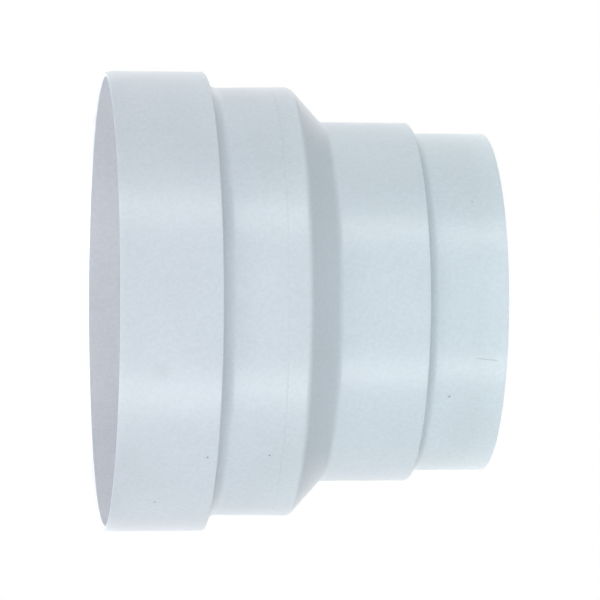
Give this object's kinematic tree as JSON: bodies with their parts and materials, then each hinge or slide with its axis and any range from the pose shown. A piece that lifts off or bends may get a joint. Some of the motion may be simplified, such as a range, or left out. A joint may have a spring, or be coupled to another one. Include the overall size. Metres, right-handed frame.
{
  "type": "round ventilation duct reducer",
  "caption": "Thin-walled round duct reducer: a wide socket, a barrel, a cone and a stepped-down spigot on one axis, joining a wide air duct to a narrower one.",
  "frame": {"origin": "centre of the spigot's rim plane", "axes": "+Z along the duct axis, from the spigot up to the socket's mouth; X and Y are any two radial directions, because the part is a body of revolution"},
  "size_m": [0.13, 0.13, 0.108],
  "materials": {
    "white_plastic": "satin moulded bluish-white plastic with a fine grain"
  },
  "bodies": {
    "root": {"reducer_body": "white_plastic"}
  },
  "joints": []
}
